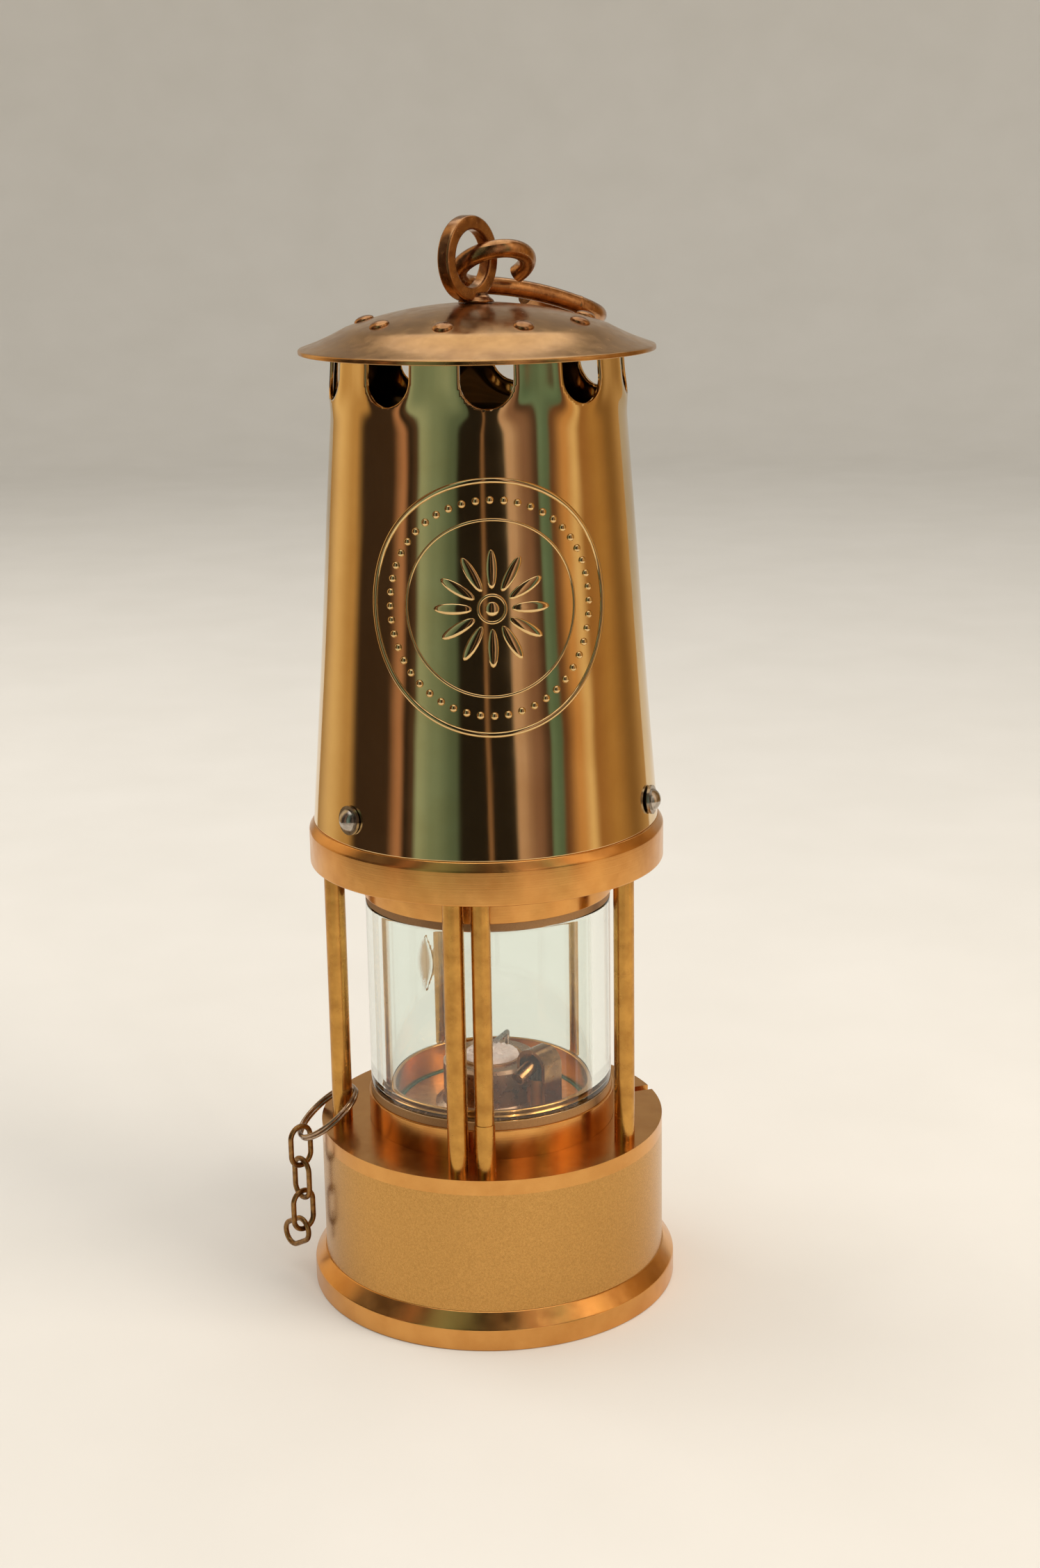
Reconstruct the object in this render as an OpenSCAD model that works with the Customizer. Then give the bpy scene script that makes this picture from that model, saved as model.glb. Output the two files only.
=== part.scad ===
// Miner's flame safety lamp: oil vessel, glass, pillar frame, bonnet and hook.
// The origin is the centre of the base on the surface it stands on, with +Z up.
// The front is -Y, and an angle round the lamp is counted from the front towards +X.

/* [Base and oil vessel] */
// Radius of the base flange
base_r = 47.7; // [46:0.1:52]
// Height of the flange's upright band
base_band_h = 5.7; // [4:0.1:8]
// Height of the polished chamfer above the band
base_chamfer_h = 3.7; // [2:0.1:5]
// Radius of the finger recess under the base
recess_r = 38; // [34:0.5:39]
// Thickness of the floor plate in the base
floor_t = 1.6; // [1:0.1:3]
// Radius of the oil vessel and the pillar plate above it
vessel_r = 44.7; // [44.2:0.1:45.5]
// Height of the vessel's wall above the flange
vessel_h = 31.3; // [25:0.1:45]
// Wall of the oil vessel
vessel_wall = 1.6; // [1:0.1:2.5]
// Thickness of the vessel's top
deck_t = 3.4; // [3.3:0.1:5]

/* [Gallery under the glass] */
// Radius of the neck that carries the glass
neck_r = 32; // [31:0.1:33]
// Height of the neck above the pillar plate
collar_h = 7.7; // [7:0.1:12]
// Wall of the spigot inside the glass
spigot_wall = 1.1; // [0.8:0.1:2]
// Height of the spigot above the neck
spigot_h = 3.7; // [2.5:0.1:6]
// Thickness of each glass gasket
gasket_t = 2; // [1:0.1:3]

/* [Glass] */
// Outer radius of the glass tube
glass_r = 31.4; // [31:0.1:31.7]
// Wall of the glass tube
glass_wall = 4.9; // [4:0.1:5.4]
// Height of the glass tube
glass_h = 50.3; // [45:0.1:80]

/* [Pillar frame] */
// Thickness of the pillar plate
plate_t = 3.9; // [3:0.1:6]
// Radius of the circle that the pillars stand on
pillar_circle_r = 39.2; // [38:0.1:40]
// Diameter of a pillar
pillar_d = 5.2; // [4:0.1:6]
// Number of pillars
pillar_count = 5; // [4:1:6]
// Angle of the first pillar
first_pillar = -16; // [-18:0.5:-15]
// Angle of the notch in the plate
notch_angle = 104; // [95:1:110]
// Width of the notch
notch_w = 3; // [2:0.1:5]

/* [Magnetic lock] */
// Angle of the lock tube
lock_angle = -6.2; // [-7:0.1:-5]
// Diameter of the lock tube
lock_tube_d = 4.8; // [4.4:0.1:5]
// Diameter of the lower lock sleeve
lock_sleeve_d = 5.2; // [5:0.1:5.6]
// Height of the lower lock sleeve
lock_sleeve_h = 12.9; // [12:0.1:18]
// Diameter of the lock bolt
bolt_d = 3.2; // [2.6:0.1:3.4]
// Travel of the lock bolt
bolt_travel = 3; // [2:0.1:3.2]

/* [Bonnet ring] */
// Radius of the bonnet ring
ring_r = 45; // [44.5:0.1:47]
// Height of the ring's upright band
ring_band_h = 8.7; // [6:0.1:12]
// Height of the ring's top chamfer
ring_chamfer_h = 2; // [1:0.1:3]
// Height of the glass seat under the bonnet ring
seat_h = 8.7; // [7:0.1:12]
// Height of the spigot that the bonnet is screwed to
bonnet_spigot_h = 12; // [10:0.1:16]

/* [Bonnet] */
// Outer radius of the bonnet at its foot
bonnet_r = 43.5; // [43:0.1:43.8]
// Outer radius of the bonnet under the lid
bonnet_top_r = 34.7; // [33:0.1:36]
// Height of the bonnet's straight wall
bonnet_h = 120; // [110:0.5:140]
// Thickness of the sheet brass
sheet_t = 0.9; // [0.7:0.1:1.2]
// Number of air vents
vent_count = 9; // [7:1:9]
// Width of an air vent
vent_w = 12.5; // [10:0.1:13]
// Height of the vents below the lid's underside at the wall
vent_h = 14.3; // [10:0.1:20]
// Radius of the raised ring on the front of the bonnet
crest_r = 30.4; // [20:0.1:31]
// Height of the raised ring's centre above the bonnet's foot
crest_z = 60; // [50:0.5:70]
// Diameter of a bonnet screw's head
bonnet_screw_d = 5.4; // [4:0.1:6]
// Angle of the first bonnet screw
first_bonnet_screw = -53; // [-60:1:-45]

/* [Lid] */
// How far the lid's edge lies inside the line of the bonnet's foot
lid_inset = 0.2; // [0:0.1:1]
// Rise of the domed lid
lid_rise = 10.4; // [8:0.1:12]
// Thickness of the lid
lid_t = 1; // [0.8:0.1:1.4]
// Radius of the circle of rivets
rivet_circle_r = 27.4; // [26:0.1:29]
// Diameter of a rivet's head
rivet_d = 5; // [4:0.1:5.5]

/* [Suspension] */
// Mean radius of the eye
eye_r = 8.4; // [8.2:0.1:9]
// Side of the eye's square bar
eye_bar = 3.4; // [3:0.1:3.6]
// Angle of the eye's plane from +X
eye_turn = 50; // [30:1:60]
// Diameter of the hook's wire
hook_d = 4.4; // [4:0.1:4.6]
// Mean radius of the hook's closed loop
loop_r = 8.6; // [8.4:0.1:9.4]
// Length of the hook's shank, along the lid
shank_length = 29; // [24:0.5:34]
// Mean radius of the hook's open bend
bend_r = 11; // [9:0.5:14]

/* [Key ring and chain] */
// Mean radius of the key ring
key_ring_r = 9.3; // [9.2:0.05:9.8]
// Diameter of the key ring's wire
key_ring_d = 1; // [0.8:0.1:1.2]
// Length of a chain link over its ends
link_l = 12.2; // [11:0.1:13]
// Width of a chain link over its sides
link_w = 7.6; // [7:0.1:8]
// Diameter of the chain's wire
link_d = 1.4; // [1.2:0.1:1.5]

/* [Burner] */
// Radius of the wick housing
housing_r = 12.5; // [12:0.1:13]
// Height of the wick housing above the burner plate
housing_h = 12.5; // [10:0.1:16]
// Radius of the wick
wick_r = 7.4; // [5:0.1:7.8]
// Angle of the relighter spindle
relighter_angle = 46; // [40:1:50]
// Diameter of the flint tube
flint_tube_d = 3.6; // [3.2:0.1:4]
// Length of the flint tube
flint_tube_l = 12; // [11:0.5:14]

/* [Hidden] */
$fn = 96;
// Running clearance of a shaft in its bore, on the radius
run_gap = 0.05;
// Clearance between fixed pieces that fit together, on the radius
fit_gap = 0.1;
// Clearance between pieces that move past each other
move_gap = 0.3;
// A little more than a cut needs, so that it runs past the faces
past = 1;

base_top = base_band_h + base_chamfer_h;
deck_top = base_top + vessel_h;
plate_top = deck_top + plate_t;
collar_top = plate_top + collar_h;
glass_z = collar_top + gasket_t;
glass_top = glass_z + glass_h;
glass_in_r = glass_r - glass_wall;
spigot_r = glass_in_r - move_gap;
bore_r = spigot_r - spigot_wall;
ledge_r = bore_r - 3;
ledge_t = 2;
burner_plate_t = 1.6;
burner_z = plate_top + ledge_t + burner_plate_t;

seat_z = glass_top + gasket_t;
ring_z = seat_z + seat_h;
ring_top = ring_z + ring_band_h + ring_chamfer_h;
ring_bore_r = glass_in_r + 0.5;
seat_bore_r = ring_bore_r - 2.5;
spigot_top = ring_top + bonnet_spigot_h;
bonnet_taper = (bonnet_r - bonnet_top_r) / bonnet_h;
function bonnet_r_at(z) = bonnet_r - bonnet_taper * (z - ring_top);
bonnet_screw_z = ring_top + bonnet_spigot_h * 0.55;

lid_r = bonnet_r - lid_inset;
dome_r = (lid_r * lid_r + lid_rise * lid_rise) / (2 * lid_rise);
wall_top = ring_top + bonnet_h;
// The lid's underside meets the top of the bonnet's wall.
dome_z = wall_top - sqrt(pow(dome_r - lid_t, 2) - pow(bonnet_top_r, 2));
crown_z = dome_z + dome_r;
function lid_angle(r) = asin(r / dome_r);
vent_z = wall_top - vent_h;
tab_in_r = rivet_circle_r - 4.5;
rivet_h = 1.1;
rivet_shank_d = 2.4;

// The eye's plane stands on the swivel's axis, a little off its centre.
eye_offset = 3;
eye_out_r = eye_r + eye_bar / 2;
eye_z = crown_z + move_gap + eye_out_r;
eye_shank_d = 5;
eye_nut_h = 3;
washer_t = 1.2;

// The hook's loop hangs on the eye's side, and its shank lies over the lid.
loop_drop = 14;
loop_reach = 9.8;
loop_lean = 58;
shank_turn = 24;
loop_gap_angle = 20;
bend_angle = 200;
// How far the forge welds in the hook stand out of its wire.
weld_h = 0.08;

// The key ring goes round the left pillar and rests on the plate's rim.
ring_pillar = first_pillar - 360 / pillar_count;
key_ring_tilt = 37;
key_ring_out = 3.9;
key_ring_lift = 2.1;
key_ring_pitch = 0.9 * key_ring_d;

lock_guide_top = plate_top + lock_sleeve_h;
bolt_z = deck_top + move_gap;
bolt_l = lock_sleeve_h - 1;
lock_hole_depth = bolt_travel - move_gap + 0.2;
spring_r = bolt_d / 2 - 0.1;

pin_r = 1.1;
pricker_rod_r = 0.7;
pricker_tube_r = 1.3;
wick_tube_r = wick_r + fit_gap + 0.8;
housing_wall = 1.1;
housing_top = burner_z + housing_h;
wick_top = housing_top + 1.8;
wick_taper_h = 0.8;
pricker_r = (wick_tube_r + housing_r - housing_wall) / 2;
pricker_angle = 150;
relighter_rod_r = 1.2;
relighter_tube_r = 2.2;
wheel_r = 3;
relighter_r = housing_r + wheel_r + move_gap;
wheel_h = 3.2;
wheel_top = housing_top + 1;
knob_z = 1.2;
knob_h = base_top - floor_t - knob_z - 0.6;
flint_dip = 21;
flint_turn = -46;

base_spigot_h = 2.5;
floor_ledge = 2;
filler_angle = 215;
filler_r = 22;
filler_thread_r = 5;
packing_gap = 0.6;

seal_w = 0.9;
burner_screw_r = 1.1;
burner_screw_circle = bore_r - 5.8;
housing_skirt_r = housing_r + 2.2;
stop_pin_h = 4.2;
stop_pin_angle = 108;
stop_pin_circle = (housing_skirt_r + bore_r - seal_w) / 2;

hood_r = 4.4;
hood_wall = 0.9;
hood_l = 6.6;
hood_axis_z = housing_top + 1.6;
// The flint tube starts this far behind the striker wheel's axis.
flint_back = 3.2;
flint_bore_r = flint_tube_d / 2 - 0.5;
flint_l = 7.2;
flint_spring_l = 2.6;
flint_plug_l = 1;
pricker_knob_r = 6;
relighter_knob_r = 8.5;

notch_depth = 2;
bonnet_screw_shank_r = 1.5;
bonnet_screw_l = 4.6;
bonnet_lean = atan(bonnet_taper);
screw_washer_t = 0.7;
gauze_t = 0.6;
gauze_foot = 2;
gauze_headroom = 9;
inner_gauze_r = ring_bore_r - 6;
outer_gauze_r = ring_bore_r - 2;
gauze_top = vent_z - gauze_headroom;

crest_w = 1.3;
crest_h = 0.5;
crest_wall_r = bonnet_r_at(ring_top + crest_z);
// The outline of a circle that was struck into the flat sheet before it was rolled,
// seen from the front.
function rolled_circle(r) = [
  for (a = [0 : 5 : 355])
    [crest_wall_r * sin(r * cos(a) / crest_wall_r * 180 / PI), r * sin(a)]
];

// The loop's lowest point, seen across the lean of its plane, is where the shank
// leaves it. Lengths run along the shank, to its left, and up from the dome's centre.
loop_c = [
  (loop_reach * cos(loop_drop) - eye_offset) * cos(eye_turn - shank_turn),
  (loop_reach * cos(loop_drop) - eye_offset) * sin(eye_turn - shank_turn),
  eye_z - loop_reach * sin(loop_drop) - dome_z
];
shank_start = loop_c + loop_r * [0, sin(loop_lean), -cos(loop_lean)];
shank_r = norm([shank_start.x, shank_start.z]);
shank_from = atan2(shank_start.x, shank_start.z);
shank_sweep = shank_length / shank_r * 180 / PI;

// The links hang from the key ring's outer side, each a quarter turn from the last.
link_step = link_l - 2 * link_d - move_gap;
link_twist = 35;
last_link_swing = 60;
link_hang = key_ring_pitch / 2 + key_ring_d / 2 + move_gap + link_d / 2;

// A flat ring from z upwards.
module washer(r_out, r_in, z, h) {
  translate([0, 0, z])
    difference() {
      cylinder(r = r_out, h = h);
      translate([0, 0, -past])
        cylinder(r = r_in, h = h + 2 * past);
    }
}

// Puts a piece at an angle round the lamp, at a radius from its axis.
module at(angle, r, z = 0) {
  rotate([0, 0, angle])
    translate([0, -r, z])
      children();
}

// The parts of a round bar bent to an arc, in the XY plane, from one angle on.
module arc_bar(mean_r, d, from, sweep) {
  rotate([0, 0, from])
    rotate_extrude(angle = sweep, $fn = 64)
      translate([mean_r, 0])
        circle(d = d, $fn = 24);
}

module base_flange() {
  color("goldenrod")
    difference() {
      union() {
        cylinder(r = base_r, h = base_band_h);
        translate([0, 0, base_band_h])
          cylinder(r1 = base_r, r2 = vessel_r + fit_gap, h = base_chamfer_h);
        cylinder(r = vessel_r - vessel_wall - fit_gap, h = base_top + base_spigot_h);
      }
      translate([0, 0, -past])
        cylinder(r = recess_r, h = base_top + base_spigot_h + 2 * past);
      translate([0, 0, base_top - floor_t])
        cylinder(r = recess_r + floor_ledge, h = floor_t + base_spigot_h + past);
    }
}

module floor_plate() {
  color("goldenrod")
    difference() {
      translate([0, 0, base_top - floor_t])
        cylinder(r = recess_r + floor_ledge - fit_gap, h = floor_t);
      rods_through(fit_gap);
      at(filler_angle, filler_r, base_top - floor_t - past)
        cylinder(r = filler_thread_r + fit_gap, h = floor_t + 2 * past);
    }
}

module filler_plug() {
  head_h = 1.8;
  slot_w = 1.2;
  color("goldenrod")
    at(filler_angle, filler_r, base_top - floor_t - head_h)
      difference() {
        union() {
          cylinder(r = filler_thread_r + 1.6, h = head_h);
          cylinder(r = filler_thread_r, h = head_h + floor_t + 2);
        }
        translate([-filler_thread_r, -slot_w / 2, -past])
          cube([2 * filler_thread_r, slot_w, past + 1]);
      }
}

// Holes for the tubes that carry the two rods up through the vessel.
module rods_through(gap) {
  at(pricker_angle, pricker_r, 0)
    cylinder(r = pricker_tube_r + gap, h = housing_top - housing_wall);
  at(relighter_angle, relighter_r, 0)
    cylinder(r = relighter_tube_r + gap, h = housing_top);
}

module vessel_shell() {
  color("goldenrod")
    difference() {
      translate([0, 0, base_top])
        cylinder(r = vessel_r, h = vessel_h);
      translate([0, 0, base_top - past])
        cylinder(r = vessel_r - vessel_wall, h = vessel_h - deck_t + past);
      translate([0, 0, deck_top - deck_t - past])
        cylinder(r = ledge_r, h = deck_t + 2 * past);
      at(lock_angle, pillar_circle_r, deck_top - lock_hole_depth)
        cylinder(r = bolt_d / 2 + move_gap, h = lock_hole_depth + past);
    }
}

module cotton_packing() {
  packing_z = base_top + base_spigot_h + move_gap;
  packing_r = vessel_r - vessel_wall - packing_gap;
  color("ivory")
    difference() {
      translate([0, 0, packing_z])
        cylinder(r = packing_r, h = deck_top - deck_t - packing_gap - packing_z);
      rods_through(packing_gap);
      at(filler_angle, filler_r, 0)
        cylinder(r = filler_thread_r + packing_gap, h = base_top + 5);
      cylinder(r = wick_r + packing_gap, h = deck_top);
    }
}

module gallery_collar() {
  color("goldenrod")
    rotate_extrude()
      polygon([
        [ledge_r, deck_top], [neck_r, deck_top], [neck_r, collar_top],
        [spigot_r, collar_top], [spigot_r, collar_top + spigot_h],
        [bore_r, collar_top + spigot_h], [bore_r, plate_top + ledge_t],
        [ledge_r, plate_top + ledge_t]
      ]);
}

module lower_gasket() {
  color("dimgray")
    washer(glass_r, spigot_r + fit_gap, collar_top, gasket_t);
}

module burner_plate() {
  color("goldenrod")
    difference() {
      translate([0, 0, burner_z - burner_plate_t])
        cylinder(r = bore_r - seal_w, h = burner_plate_t);
      rods_through(fit_gap);
      translate([0, 0, plate_top])
        cylinder(r = wick_tube_r + fit_gap, h = burner_z - plate_top + past);
      burner_screw_places()
        translate([0, 0, burner_z - burner_plate_t - past])
          cylinder(r = burner_screw_r + fit_gap, h = burner_plate_t + 2 * past);
    }
}

module burner_seal() {
  color("mediumaquamarine")
    washer(bore_r, bore_r - seal_w, burner_z - burner_plate_t, burner_plate_t + 0.2);
}

module burner_screw_places() {
  for (a = [-80, 160])
    at(a, burner_screw_circle)
      children();
}

module burner_screws() {
  head_r = 2;
  color("goldenrod")
    burner_screw_places()
      translate([0, 0, burner_z]) {
        intersection() {
          translate([0, 0, -1.2])
            sphere(r = 2.4);
          cylinder(r = head_r, h = 2);
        }
        translate([0, 0, -burner_plate_t - 3])
          cylinder(r = burner_screw_r, h = burner_plate_t + 3 + 0.2);
      }
}

module wick_housing() {
  skirt_h = 2.6;
  wick_hole_r = wick_tube_r + fit_gap;
  color("sienna")
    difference() {
      rotate_extrude()
        polygon([
          [housing_r - housing_wall, burner_z], [housing_skirt_r, burner_z],
          [housing_skirt_r, burner_z + 0.6], [housing_r + 0.5, burner_z + skirt_h * 0.6],
          [housing_r, burner_z + skirt_h], [housing_r, housing_top - 0.8],
          [housing_r - 0.8, housing_top], [wick_hole_r, housing_top],
          [wick_hole_r, housing_top - housing_wall],
          [housing_r - housing_wall, housing_top - housing_wall]
        ]);
      at(pricker_angle, pricker_r, burner_z)
        cylinder(r = pricker_rod_r + run_gap, h = housing_h + past);
      rods_through(fit_gap);
    }
}

// The room that the striker wheel and its spindle's tube take.
module striker_space(gap) {
  at(relighter_angle, relighter_r, burner_z - past)
    cylinder(r = wheel_r + gap, h = wheel_top - burner_z + past + gap);
}

module wick_tube() {
  color("goldenrod")
    washer(wick_tube_r, wick_r + fit_gap, deck_top - 2, housing_top - deck_top + 2.4);
}

module wick() {
  color("mistyrose") {
    translate([0, 0, base_top + 3])
      cylinder(r = wick_r, h = wick_top - wick_taper_h - base_top - 3);
    translate([0, 0, wick_top - wick_taper_h])
      cylinder(r1 = wick_r, r2 = wick_r - 2 * wick_taper_h, h = wick_taper_h);
  }
}

module striker_hood() {
  leg_h = hood_axis_z - burner_z;
  color("peru")
    difference() {
      at(relighter_angle, relighter_r, hood_axis_z)
        rotate([0, 0, flint_turn - relighter_angle])
          rotate([90, 0, 0])
            translate([0, 0, -hood_l / 2])
              difference() {
                union() {
                  cylinder(r = hood_r, h = hood_l);
                  translate([-hood_r, -leg_h, 0])
                    cube([2 * hood_r, leg_h, hood_l]);
                }
                translate([0, 0, -past])
                  cylinder(r = hood_r - hood_wall, h = hood_l + 2 * past);
                translate([-hood_r + hood_wall, -leg_h - past, -past])
                  cube([2 * (hood_r - hood_wall), leg_h + past, hood_l + 2 * past]);
              }
      cylinder(r = housing_skirt_r + fit_gap, h = burner_z + 2.7);
      cylinder(r = housing_r + fit_gap, h = housing_top + fit_gap);
      flint_place()
        translate([0, 0, -flint_tube_l])
          cylinder(d = flint_tube_d + 2 * fit_gap, h = 2 * flint_tube_l);
    }
}

// The flint tube slopes down towards the front from over the striker wheel.
module flint_place() {
  at(relighter_angle, relighter_r, wheel_top + 1.9)
    rotate([0, 0, flint_turn - relighter_angle])
      rotate([90 + flint_dip, 0, 0])
        children();
}

module flint_tube() {
  color("peru")
    difference() {
      flint_place()
        translate([0, 0, -flint_back])
          difference() {
            cylinder(d = flint_tube_d, h = flint_tube_l);
            translate([0, 0, -past])
              cylinder(r = flint_bore_r, h = flint_tube_l + 2 * past);
          }
      striker_space(move_gap);
    }
}

module flint() {
  color("dimgray")
    difference() {
      flint_place()
        translate([0, 0, -flint_back])
          cylinder(r = flint_bore_r - fit_gap, h = flint_l);
      striker_space(move_gap);
    }
}

module flint_spring() {
  color("silver")
    flint_place()
      translate([0, 0, flint_l - flint_back])
        difference() {
          cylinder(r = flint_bore_r - fit_gap, h = flint_spring_l);
          translate([0, 0, -past])
            cylinder(r = flint_bore_r - 0.5, h = flint_spring_l + 2 * past);
        }
}

module flint_plug() {
  color("goldenrod")
    flint_place()
      translate([0, 0, flint_l + flint_spring_l - flint_back])
        cylinder(r = flint_bore_r - fit_gap / 2, h = flint_plug_l);
}

module stop_pin() {
  color("goldenrod")
    at(stop_pin_angle, stop_pin_circle, burner_z) {
      cylinder(r = pin_r, h = stop_pin_h);
      translate([0, 0, stop_pin_h])
        cylinder(r1 = pin_r, r2 = pin_r - 0.5, h = 0.5);
    }
}

module pricker_tube() {
  color("goldenrod")
    at(pricker_angle, pricker_r)
      washer(pricker_tube_r, pricker_rod_r + run_gap, base_top - floor_t,
        burner_z + 2 - base_top + floor_t);
}

module relighter_tube() {
  color("goldenrod")
    at(relighter_angle, relighter_r)
      washer(relighter_tube_r, relighter_rod_r + run_gap, base_top - floor_t,
        wheel_top - wheel_h - move_gap - base_top + floor_t);
}

module glass() {
  color("lightcyan", 0.35)
    washer(glass_r, glass_in_r, glass_z, glass_h);
}

module pillar_plate() {
  color("goldenrod")
    difference() {
      translate([0, 0, deck_top])
        cylinder(r = vessel_r, h = plate_t);
      translate([0, 0, deck_top - past])
        cylinder(r = neck_r + run_gap, h = plate_t + 2 * past);
      at(lock_angle, pillar_circle_r, deck_top - past)
        cylinder(r = bolt_d / 2 + run_gap, h = plate_t + 2 * past);
      at(notch_angle, vessel_r + past, plate_top - notch_depth)
        translate([-notch_w / 2, 0, 0])
          cube([notch_w, vessel_r - pillar_circle_r + 3 + past, notch_depth + past]);
    }
}

module pillars() {
  color("goldenrod")
    for (i = [0 : pillar_count - 1])
      at(first_pillar + i * 360 / pillar_count, pillar_circle_r, plate_top)
        cylinder(d = pillar_d, h = ring_z - plate_top);
}

module lock_sleeve() {
  color("goldenrod")
    at(lock_angle, pillar_circle_r)
      washer(lock_sleeve_d / 2, bolt_d / 2 + run_gap, plate_top, lock_sleeve_h);
}

module lock_tube() {
  color("goldenrod")
    at(lock_angle, pillar_circle_r)
      washer(lock_tube_d / 2, spring_r - 0.7, lock_guide_top, ring_z - lock_guide_top);
}

module lock_bolt() {
  color("silver")
    at(lock_angle, pillar_circle_r, bolt_z)
      cylinder(d = bolt_d, h = bolt_l);
}

module lock_spring() {
  color("silver")
    at(lock_angle, pillar_circle_r)
      washer(spring_r, spring_r - 0.5, bolt_z + bolt_l,
        lock_guide_top - bolt_z - bolt_l);
}

module glass_seat() {
  color("goldenrod")
    washer(neck_r, seat_bore_r, seat_z, seat_h);
}

module upper_gasket() {
  color("dimgray")
    washer(glass_r, glass_in_r, glass_top, gasket_t);
}

module bonnet_ring() {
  chamfer_w = ring_r - bonnet_r - 0.2;
  color("goldenrod")
    difference() {
      union() {
        translate([0, 0, ring_z])
          cylinder(r = ring_r, h = ring_band_h);
        translate([0, 0, ring_z + ring_band_h])
          cylinder(r1 = ring_r, r2 = ring_r - chamfer_w, h = ring_chamfer_h);
        translate([0, 0, ring_top - past])
          cylinder(r1 = bonnet_r_at(ring_top) - sheet_t - fit_gap,
            r2 = bonnet_r_at(spigot_top) - sheet_t - fit_gap, h = bonnet_spigot_h + past);
      }
      translate([0, 0, ring_z - past])
        cylinder(r = ring_bore_r, h = spigot_top - ring_z + 2 * past);
      translate([0, 0, ring_top - 2])
        cylinder(r = bonnet_r_at(spigot_top) - sheet_t - 3, h = bonnet_spigot_h + 2 + past);
      bonnet_screw_places()
        bonnet_screw_hole();
    }
}

module bonnet_screw_places() {
  for (i = [0 : 2])
    at(first_bonnet_screw + i * 120, bonnet_r_at(bonnet_screw_z), bonnet_screw_z)
      rotate([90 - bonnet_lean, 0, 0])
        children();
}

module bonnet_screw_hole() {
  translate([0, 0, -bonnet_screw_l - past])
    cylinder(r = bonnet_screw_shank_r + fit_gap, h = bonnet_screw_l + 3 * past);
}

module bonnet_washers() {
  color("silver")
    bonnet_screw_places()
      washer(bonnet_screw_d / 2 + 0.9, bonnet_screw_shank_r + fit_gap, 0.3,
        screw_washer_t);
}

module bonnet_screws() {
  color("silver")
    bonnet_screw_places()
      translate([0, 0, 0.3 + screw_washer_t]) {
        intersection() {
          translate([0, 0, -1.2])
            sphere(r = bonnet_screw_d / 2 + 0.4);
          cylinder(d = bonnet_screw_d, h = bonnet_screw_d);
        }
        translate([0, 0, -bonnet_screw_l])
          cylinder(r = bonnet_screw_shank_r, h = bonnet_screw_l + 0.1);
      }
}

module gauze_cup(foot_r, top_r, top) {
  rotate_extrude()
    polygon([
      [foot_r, ring_z + gauze_foot], [top_r, top], [0, top], [0, top - gauze_t],
      [top_r - gauze_t, top - gauze_t], [foot_r - gauze_t, ring_z + gauze_foot]
    ]);
}

module inner_gauze() {
  color("dimgray")
    gauze_cup(inner_gauze_r, inner_gauze_r - 3.5, gauze_top - 7);
}

module outer_gauze() {
  color("dimgray")
    gauze_cup(outer_gauze_r, outer_gauze_r - 4, gauze_top);
}

module gauze_clamp() {
  color("goldenrod")
    washer(ring_bore_r - fit_gap, inner_gauze_r - gauze_t - 1.4, ring_z, gauze_foot);
}

module bonnet_shell() {
  color("goldenrod")
    difference() {
      rotate([0, 0, 90 / vent_count])
        union() {
          rotate_extrude()
            polygon([
              [bonnet_r, ring_top], [bonnet_top_r, wall_top],
              [bonnet_top_r - sheet_t, wall_top], [bonnet_r - sheet_t, ring_top]
            ]);
          bonnet_tabs();
        }
      for (i = [0 : vent_count - 1])
        rotate([0, 0, i * 360 / vent_count])
          vent_cut();
      rivet_places()
        translate([0, 0, -6])
          cylinder(d = rivet_shank_d + 2 * fit_gap, h = 6);
      bonnet_screw_places()
        bonnet_screw_hole();
    }
}

// The wall's tabs turn in under the lid and follow its dome.
module bonnet_tabs() {
  translate([0, 0, dome_z])
    difference() {
      intersection() {
        sphere(r = dome_r - lid_t);
        cylinder(r = bonnet_top_r - sheet_t / 2, h = dome_r);
      }
      sphere(r = dome_r - lid_t - sheet_t);
      cylinder(r = tab_in_r, h = dome_r);
    }
}

// One vent: a slot open at the top, with a round bottom.
module vent_cut() {
  in_r = tab_in_r - past;
  translate([0, -in_r, vent_z + vent_w / 2])
    rotate([90, 0, 0])
      cylinder(d = vent_w, h = bonnet_r - in_r);
  translate([-vent_w / 2, -bonnet_r, vent_z + vent_w / 2])
    cube([vent_w, bonnet_r - in_r, vent_h + lid_rise]);
}

module crest_ring() {
  centre_z = ring_top + crest_z;
  color("goldenrod")
    intersection() {
      rotate_extrude()
        polygon([
          [bonnet_r + crest_h, ring_top], [bonnet_top_r + crest_h, wall_top],
          [bonnet_top_r + 0.02, wall_top], [bonnet_r + 0.02, ring_top]
        ]);
      translate([0, 0, centre_z])
        rotate([90, 0, 0])
          linear_extrude(height = bonnet_r + past)
            difference() {
              polygon(rolled_circle(crest_r));
              polygon(rolled_circle(crest_r - crest_w));
            }
    }
}

module lid() {
  color("goldenrod")
    difference() {
      translate([0, 0, dome_z])
        difference() {
          intersection() {
            sphere(r = dome_r);
            cylinder(r = lid_r, h = dome_r + past);
          }
          sphere(r = dome_r - lid_t);
        }
      translate([0, 0, crown_z - 5])
        cylinder(d = eye_shank_d + 2 * run_gap, h = 6);
      rivet_places()
        translate([0, 0, -lid_t - past])
          cylinder(d = rivet_shank_d + 2 * fit_gap, h = lid_t + 2 * past);
    }
}

// Places on the dome's outer face, with +Z square to it.
module rivet_places() {
  for (i = [0 : vent_count - 1])
    rotate([0, 0, (i + 0.5) * 360 / vent_count])
      translate([0, 0, dome_z])
        rotate([lid_angle(rivet_circle_r), 0, 0])
          translate([0, 0, dome_r])
            children();
}

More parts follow.
